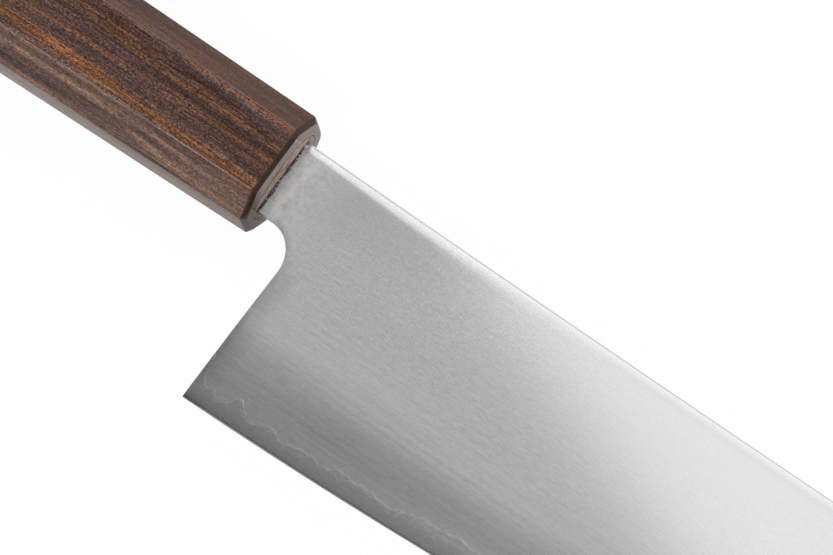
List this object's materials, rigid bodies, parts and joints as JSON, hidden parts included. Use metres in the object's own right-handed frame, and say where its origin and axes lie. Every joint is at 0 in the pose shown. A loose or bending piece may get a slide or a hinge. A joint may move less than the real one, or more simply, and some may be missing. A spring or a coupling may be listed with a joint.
{
  "type": "kitchen knife",
  "caption": "Kiritsuke santoku kitchen knife: a three-layer steel blade with an angled tip, on a stick tang bedded in an octagonal wood handle.",
  "frame": {"origin": "middle of the footprint of the knife lying on its left side, at the height of the handle's lowest point", "axes": "+X from the handle to the tip, +Y from the edge towards the spine, +Z out of the right flank"},
  "size_m": [0.31, 0.053, 0.0198],
  "materials": {
    "core_steel": "satin, finely ground along the edge",
    "cladding_steel": "satin, brushed lengthwise",
    "handle_wood": "dark streaked hardwood under a glossy lacquer",
    "sleeve_wood": "pale raw wood",
    "epoxy_resin": "cured dark resin, glossy"
  },
  "bodies": {
    "root": {"core_steel": "core_steel", "cladding_right": "cladding_steel", "cladding_left": "cladding_steel", "handle_body": "handle_wood", "tang_sleeve": "sleeve_wood", "epoxy_bed": "epoxy_resin"}
  },
  "joints": []
}
